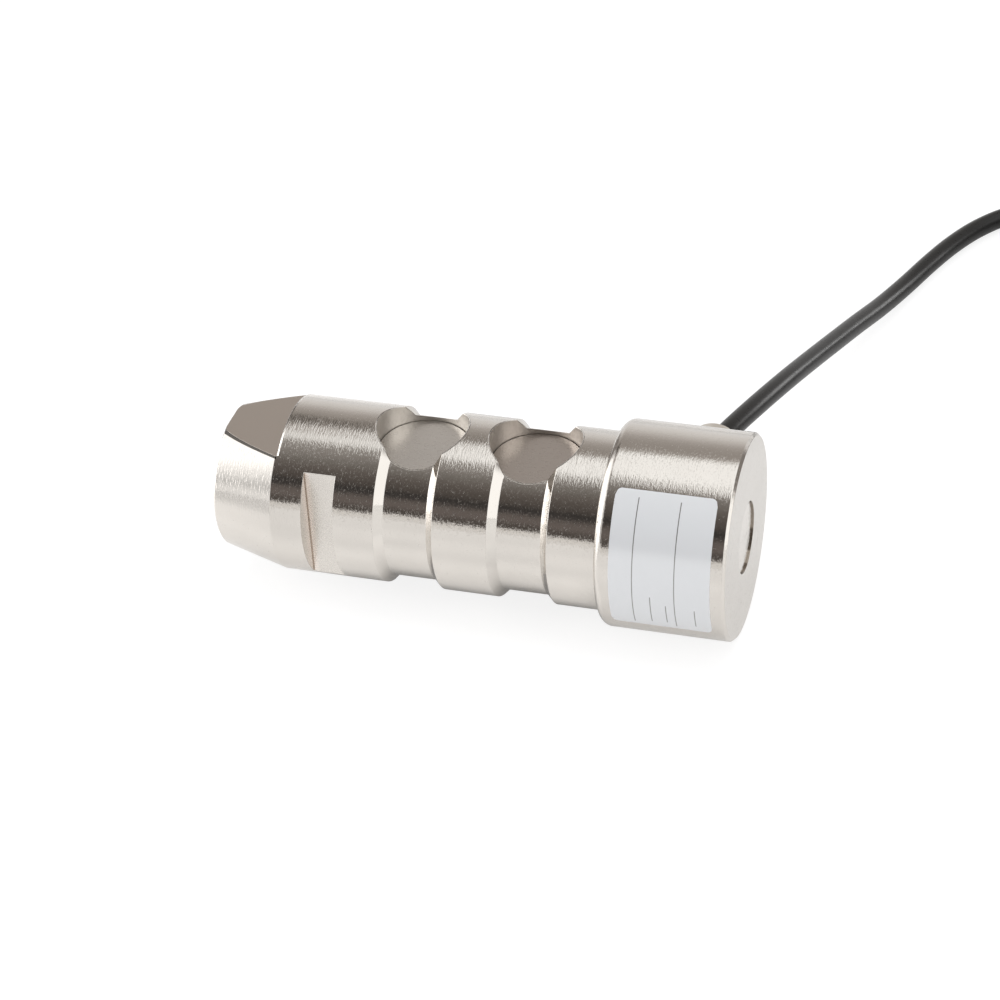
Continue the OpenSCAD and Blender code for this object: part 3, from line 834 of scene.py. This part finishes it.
def smooth_path(points, steps):
    """Catmull-Rom points through a hand-chosen route."""
    pts = [Vector(p) for p in points]
    pts = [2 * pts[0] - pts[1]] + pts + [2 * pts[-1] - pts[-2]]
    path = []
    for a, b, c, d in zip(pts, pts[1:], pts[2:], pts[3:]):
        for k in range(steps):
            t = k / steps
            path.append(0.5 * (2 * b + (c - a) * t + (2 * a - 5 * b + 4 * c - d) * t ** 2
                               + (3 * b - a - 3 * c + d) * t ** 3))
    path.append(pts[-2])
    return path


def ease(t):
    return t * t * (3 - 2 * t)


def on_coil(radius, degrees, z):
    """A point round the coil's middle, in millimetres."""
    angle = math.radians(degrees)
    return Vector((COIL_POS[0] + radius * math.cos(angle), COIL_POS[1] + radius * math.sin(angle), z))


def coil_path(steps=28):
    """Four layers of four turns, wound clockwise, in and out by turns."""
    turns = []
    for layer in range(COIL_TURNS):
        order = range(COIL_TURNS) if layer % 2 == 0 else range(COIL_TURNS - 1, -1, -1)
        turns += [(COIL_OUTER - CABLE_D * k, layer) for k in order]
    path = []
    for (radius, layer), (next_radius, next_layer) in zip(turns, turns[1:] + turns[-1:]):
        for k in range(steps):
            part = k / steps
            share = ease(max(0.0, (part - 1 + STEP_OVER) / STEP_OVER))
            z = COIL_BOTTOM + CABLE_D / 2 + CABLE_D * (layer + (next_layer - layer) * share)
            path.append(on_coil(radius + (next_radius - radius) * share, 90 - 360 * part, z))
    return path


def tail_path(steps=24):
    """From the last turn, over its neighbour, to the cut end of the sheath."""
    path = []
    for k in range(1, steps + 1):
        degrees = 90 - (90 - TAIL_END) * k / steps
        roll = math.radians(90) * ease(min(1.0, (90 - degrees) / TAIL_CLIMB))
        z = COIL_TOP - CABLE_D / 2 + CABLE_D * math.sin(roll)
        path.append(on_coil(TAIL_RADIUS + CABLE_D * math.cos(roll), degrees, z))
    return path


def tube(name, path, diameter, resolution=6):
    """A round tube along a path, in millimetres."""
    curve = bpy.data.curves.new(name + "_line", "CURVE")
    curve.dimensions = "3D"
    spline = curve.splines.new("POLY")
    spline.points.add(len(path) - 1)
    for point, place in zip(spline.points, path):
        point.co = (*(Vector(place) * MM), 1)
    curve.bevel_depth = diameter / 2 * MM
    curve.bevel_resolution = resolution
    curve.use_fill_caps = True
    line = link(name + "_line", curve)
    graph = bpy.context.evaluated_depsgraph_get()
    mesh = bpy.data.meshes.new_from_object(line.evaluated_get(graph))
    bpy.data.objects.remove(line)
    made = link(name, mesh)
    shade(made, 50)
    return made


def path_length(path):
    return sum((b - a).length for a, b in zip(path, path[1:])) * MM


def build_cable():
    lead = smooth_path(CABLE_ROUTE, 6)
    stub = [Vector((x, COIL_POS[1] + COIL_OUTER, COIL_BOTTOM + CABLE_D / 2)) for x in (130, 134, 138, 142, 145)]
    path = lead + stub + coil_path() + tail_path()
    cable = tube("cable", path, CABLE_D)
    finish_piece(cable, "cable_sheath", "cable_lead", "cable_coil", "cable_tail")
    on_it = build_cores() + build_ties()
    path_length(path)
    [tuple(point * MM) for point in path]


def build_cores():
    made = []
    steps = 24
    for index, colour in enumerate(("red", "black", "green", "white", "shield")):
        path = []
        for k in range(steps + 1):
            share = k / steps
            out = ease(min(1.0, share * 2.5))
            radius = TAIL_RADIUS + (index - 2) * CORE_STEP * (0.5 + 0.5 * out)
            z = COIL_TOP + CORE_D / 2 + CORE_DROP * (1 - out)
            path.append(on_coil(radius, TAIL_END + 1 - (TAIL_END + 1 - CORE_END) * share, z))
        core = tube(f"core_{colour}_wire", path, CORE_D * (0.75 if colour == "shield" else 1.0), 4)
        finish_piece(core, f"core_{colour}", f"core_{colour}")
        made.append(core)
    return made


def build_ties():
    """Flat bands round the coil's section."""
    made = []
    corner = CABLE_D / 2 + TIE_GAP
    hub = COIL_TURNS * CABLE_D / 2 + TIE_GAP - corner
    band = [(0.0, -1), (TIE_T * 0.75, -1), (TIE_T, -0.93), (TIE_T, 0.93), (TIE_T * 0.75, 1), (0.0, 1)]
    for index, degrees in enumerate(TIES):
        bm = bmesh.new()
        rings = []
        for right, up, start in ((1, 1, 0), (-1, 1, 90), (-1, -1, 180), (1, -1, 270)):
            for k in range(9):
                angle = math.radians(start + 90 * k / 8)
                rings.append([
                    bm.verts.new((right * hub + (corner + height) * math.cos(angle), side * TIE_W / 2,
                                  up * hub + (corner + height) * math.sin(angle)))
                    for height, side in band
                ])
        for low, high in zip(rings, rings[1:] + rings[:1]):
            for k in range(len(band)):
                j = (k + 1) % len(band)
                bm.faces.new([low[k], low[j], high[j], high[k]])
        bmesh.ops.recalc_face_normals(bm, faces=bm.faces)
        turn = Matrix.Rotation(math.radians(degrees), 4, "Z")
        out = Matrix.Translation((COIL_OUTER - 1.5 * CABLE_D, 0, 0))
        tie = mesh_object(f"tie_{index + 1}", bm, turn @ out, (*COIL_POS, (COIL_BOTTOM + COIL_TOP) / 2))
        shade(tie, 40)
        finish_piece(tie, "tie_black", f"coil_tie_{index + 1}")
        made.append(tie)
    return made


def dress_inner_nodes():
    """Pieces that stay as they come get their material."""
    slots = {part["node"]: part["material_slot"] for part in frame["record"]["subparts"]}
    for name, obj in nodes.items():
        obj.data.materials.clear()
        obj.data.materials.append(MATERIALS[slots[name]])


WHITE = (1, 1, 1, 1)
# The floor: half its side in millimetres, and its looks to the camera and to the other rays
FLOOR_HALF = 3000.0
FLOOR_SEEN = (0.25, 0.25, 0.25, 1)
FLOOR_GLOW = 0.82
FLOOR_MATT = (0.62, 0.62, 0.62, 1)
FLOOR_SHINE = (0.8, 0.8, 0.8, 1)
FLOOR_ROUGHNESS = 0.12
FLOOR_IOR = 1.5


def ray(tree, kind):
    """One where a camera ray, or a ray of another kind, meets the surface."""
    return tree.nodes.new("ShaderNodeLightPath").outputs[f"Is {kind} Ray"]


def floor_glow_painted(tree):
    """Painted light that the floor gives off to the metal as a glow: more in front and at the left, less under the
    pin and far behind, as painted shade.
    """
    x, y, z = position(tree)
    left = x.ramp(-0.16, -0.06, 0.45, 0.0) * y.ramp(-0.12, -0.04)
    near = y.ramp(-0.046, -0.028, 0.0, 0.14) * x.ramp(-0.052, -0.034, 0.55, 1.0)
    near = near * x.ramp(0.021, 0.03, 1.0, 0.0)
    middle = abs(x + 0.004)
    # Painted shade: less glow under the pin, as its contact shadow seen in the metal
    under = y.ramp(-0.018, -0.007, 0.0, 0.36) * middle.ramp(0.024, 0.042, 1.0, 0.0)
    behind = y.ramp(0.09, 0.28) * x.ramp(-0.12, 0.02, 0.18, -0.15)
    beside = x.ramp(0.056, 0.07) * y.ramp(-0.03, 0.0)
    behind = behind + beside * 0.07
    front = y.ramp(-0.13, -0.08, 0.25, 0.32)
    patch = x.ramp(-0.032, -0.012, 0.0, 0.14) * x.ramp(0.014, 0.028, 1.0, 0.0)
    patch = patch * y.ramp(0.06, 0.12)
    total = left + near + patch + front
    return total - (under + behind)


def build_floor():
    """White floor: an even glow to the camera; to the pin, matt white with a painted glow, and a faint shine."""
    bm = bmesh.new()
    bmesh.ops.create_grid(bm, x_segments=1, y_segments=1, size=FLOOR_HALF)
    floor = mesh_object("floor", bm)
    floor.location.z = FLOOR_Z * MM
    material = bpy.data.materials.new("floor_white")
    material.use_nodes = True
    tree = material.node_tree
    tree.nodes.clear()
    seen = make(tree, "BsdfDiffuse", FLOOR_SEEN)
    both = make(tree, "AddShader", seen, make(tree, "Emission", WHITE, FLOOR_GLOW))
    matt = make(tree, "BsdfDiffuse", FLOOR_MATT)
    paper_and_glow = make(tree, "AddShader", matt, make(tree, "Emission", WHITE, floor_glow_painted(tree)))
    shine = make(tree, "BsdfGlossy", FLOOR_SHINE, FLOOR_ROUGHNESS)
    edge_on = make(tree, "Fresnel", FLOOR_IOR)
    x, y, z = position(tree)
    # The shine shows near the pin and far out at both sides, and not on the floor in front
    out_there = (abs(x) + y * 0.8).ramp(-0.02, 0.02)
    near_it = math_node(tree, "MAXIMUM", y.ramp(-0.065, -0.042), out_there)
    other = make(tree, "MixShader", near_it * edge_on, paper_and_glow, shine)
    make(tree, "OutputMaterial", make(tree, "MixShader", ray(tree, "Camera"), other, both))
    floor.data.materials.append(material)


# The studio as a direction shows it: degrees from the front horizon over the top to the back one, and the light
STUDIO = [
    (-180, (0.9, 0.9, 0.9)), (5.8, (0.9, 0.88, 0.86)), (7.4, (0.085, 0.074, 0.067)), (13, (0.105, 0.092, 0.084)),
    (19, (0.175, 0.15, 0.14)), (27, (0.15, 0.13, 0.12)), (31, (0.07, 0.063, 0.06)), (36, (0.045, 0.042, 0.04)),
    (43, (0.095, 0.083, 0.075)), (51, (0.12, 0.105, 0.095)), (59, (0.16, 0.142, 0.13)), (67, (0.215, 0.2, 0.185)),
    (75, (0.28, 0.26, 0.245)), (91, (0.38, 0.36, 0.34)), (107, (0.47, 0.44, 0.42)), (122, (0.42, 0.39, 0.365)),
    (131, (0.39, 0.36, 0.335)), (139, (0.415, 0.385, 0.36)), (147, (0.5, 0.47, 0.445)), (155, (0.66, 0.63, 0.61)),
    (163, (0.80, 0.78, 0.76)), (171, (0.86, 0.84, 0.83)), (180, (0.9, 0.9, 0.9))
]
# What the sides show, in the same degrees
SIDES = [
    (-180, (1.35, 1.35, 1.35)), (-10, (1.1, 1.1, 1.1)), (8, (1.03, 1.03, 1.03)), (20, (0.72, 0.72, 0.72)),
    (31, (0.93, 0.93, 0.93)), (43, (1.22, 1.22, 1.22)), (62, (1.65, 1.65, 1.65)), (90, (1.7, 1.7, 1.7)),
    (180, (1.35, 1.35, 1.35))
]
BOX_LIGHT = (1.26, 1.27, 1.27, 1)
# The softbox: its middle, and the least and most that it reaches to each side, in degrees
BOX_MIDDLE = 102.4
BOX_LEAST = 5.0
BOX_MOST = 24.0
# Its reach grows from BOX_FROM towards the head: degrees for each unit of x, and degrees there
BOX_FROM = -0.275
BOX_NARROW = (200.0, 14.2)
BOX_WIDE = (85.0, 12.3)
# How far the dark gap lies from the softbox's middle, in degrees
GAP_AWAY = 27.0
# The far sides, as mirrored on the nose side and on the head side, and as matt pieces see them
PANEL_NOSE = (3.2, 3.2, 3.2, 1)
PANEL_HEAD = (1.4, 1.4, 1.39, 1)
PANEL_MATT = (1.95, 1.95, 1.95, 1)
DARK_CORNER = (0.27, 0.25, 0.235, 1)
DARK_GAP = (0.115, 0.104, 0.095, 1)


def slice_ramp(tree, share, stops):
    ramp = tree.nodes.new("ShaderNodeValToRGB")
    elements = ramp.color_ramp.elements
    while len(elements) < len(stops):
        elements.new(1.0)
    for element, (degrees, light) in zip(elements, stops):
        element.position = degrees / 360 + 0.5
        element.color = (*light, 1)
    feed(tree, share, ramp.inputs[0])
    return ramp.outputs[0]


def build_world():
    """White to the camera; to the metal a softbox overhead, bright sides and darker strips between them."""
    world = bpy.data.worlds.new("studio")
    world.use_nodes = True
    tree = world.node_tree
    tree.nodes.clear()
    x, y, z = position(tree, "Generated")
    height = math_node(tree, "ARCTAN2", z, y * -1.0)
    share = math_node(tree, "DIVIDE", height, 2 * math.pi) + 0.5
    middle = slice_ramp(tree, share, STUDIO)
    sides = slice_ramp(tree, share, SIDES)
    # The softbox overhead is wider and stronger over the head than over the nose
    from_nose = x - BOX_FROM
    narrow, wide = (from_nose * slope + start for slope, start in (BOX_NARROW, BOX_WIDE))
    reach = math_node(tree, "MAXIMUM", math_node(tree, "MINIMUM", narrow, wide), BOX_LEAST)
    reach = math_node(tree, "MINIMUM", reach, BOX_MOST)
    degrees = height * (180 / math.pi)
    # Its middle comes further to the front over the nose's end and the head, and goes back just before the head
    lower = x.ramp(-0.325, -0.298, 4.0, 0.0) + x.ramp(-0.216, -0.204, 0.0, 2.6)
    middle_part = x.ramp(-0.245, -0.225) * x.ramp(-0.19, -0.175, -1.0, 0.0)
    off = abs(degrees - BOX_MIDDLE + (lower + middle_part))
    box = (off - reach).ramp(-2.2, 2.2, 1.0, 0.0)
    power = x.ramp(-0.36, -0.22, 0.45, 1.0)
    lit = mix_colour(tree, box * power, middle, BOX_LIGHT)
    # A dark gap behind the softbox, over the nose only
    gap = abs(off - GAP_AWAY).ramp(3.0, 13.0, 1.0, 0.0)
    gap = gap * math_node(tree, "GREATER_THAN", height, math.radians(BOX_MIDDLE))
    gap = gap * x.ramp(-0.33, -0.26, 0.9, 0.0)
    lit = mix_colour(tree, gap, lit, DARK_GAP)
    # White sides end sooner towards the back on the right, where a dark corner follows
    beside = abs(x).ramp(0.42, 0.70)
    back = y + x.ramp(-0.2, 0.2, 0.0, 0.25)
    behind = back.ramp(0.40, 0.62)
    strong = abs(x).ramp(0.76, 0.92)
    panel = mix_colour(tree, x.ramp(-0.1, 0.1), PANEL_NOSE, PANEL_HEAD)
    panel = mix_colour(tree, ray(tree, "Glossy"), PANEL_MATT, panel)
    sides = mix_colour(tree, strong, sides, panel)
    lit = mix_colour(tree, beside * (1.0 - behind), lit, sides)
    corner = abs(x).ramp(0.48, 0.62) * behind
    lit = mix_colour(tree, corner, lit, DARK_CORNER)
    seen = mix_colour(tree, ray(tree, "Camera"), lit, WHITE)
    make(tree, "OutputWorld", make(tree, "Background", seen))
    bpy.context.scene.world = world


# Lamps in metres and watts: the two soft ones, and the cable's by the direction in which it stands
LAMPS = [("lamp_front", (0.1, -0.9, 0.9), 0.9, 4.0), ("lamp_top", (0.0, 0.1, 1.3), 1.2, 4.5)]
CABLE_LIT = Vector((0.065, 0.10, -0.012))
CABLE_LAMP = Vector((0.66, 0.74, 0.12))
CABLE_LAMP_AWAY = 0.55


def area_lamp(name, place, away, size, watts):
    """A soft square lamp, hidden from the camera, that stands in one direction and shines the other way."""
    light = bpy.data.lights.new(name, "AREA")
    light.size = size
    light.energy = watts
    lamp = link(name, light)
    lamp.location = place
    lamp.rotation_euler = (-Vector(away)).to_track_quat("-Z", "Y").to_euler()
    lamp.visible_camera = False
    return lamp


def build_lamps():
    """Two lamps that lift the matt pieces and show in no reflection, and one that lights only the cable."""
    for name, place, size, watts in LAMPS:
        area_lamp(name, place, place, size, watts).visible_glossy = False
    lamp = area_lamp("lamp_cable", CABLE_LIT + CABLE_LAMP * CABLE_LAMP_AWAY, CABLE_LAMP, 0.22, 0.85)
    lit_by_it = bpy.data.collections.new("cable_only")
    lit_by_it.objects.link(bpy.data.objects["cable"])
    lamp.light_linking.receiver_collection = lit_by_it


# The camera that fits the photograph: place in millimetres, directions, and the focal length in pixels
CAMERA_PLACE = Vector((163.33, -494.38, 370.14))
CAMERA_RIGHT = Vector((0.96055, 0.27386, -0.0484))
CAMERA_DOWN = Vector((0.12085, -0.56776, -0.81427))
FOCAL_PX = 2850.0
PHOTO_PX = 1000.0
SENSOR = 36.0


def build_camera():
    data = bpy.data.cameras.new("camera")
    data.sensor_width = SENSOR
    data.lens = FOCAL_PX / PHOTO_PX * SENSOR
    data.clip_start = 0.01
    data.clip_end = 20
    camera = link("camera", data)
    right = CAMERA_RIGHT.normalized()
    up = (-CAMERA_DOWN).normalized()
    back = right.cross(up).normalized()
    up = back.cross(right)
    turn = Matrix((right, up, back)).transposed().to_4x4()
    camera.matrix_world = Matrix.Translation(CAMERA_PLACE * MM) @ turn
    bpy.context.scene.camera = camera


build_camera()
build_cable()
build_pin()
build_discs()
build_plug()
build_gland()
build_label()
dress_inner_nodes()
build_floor()
build_world()
build_lamps()

bpy.context.scene.view_settings.view_transform = "Standard"
bpy.context.view_layer.update()
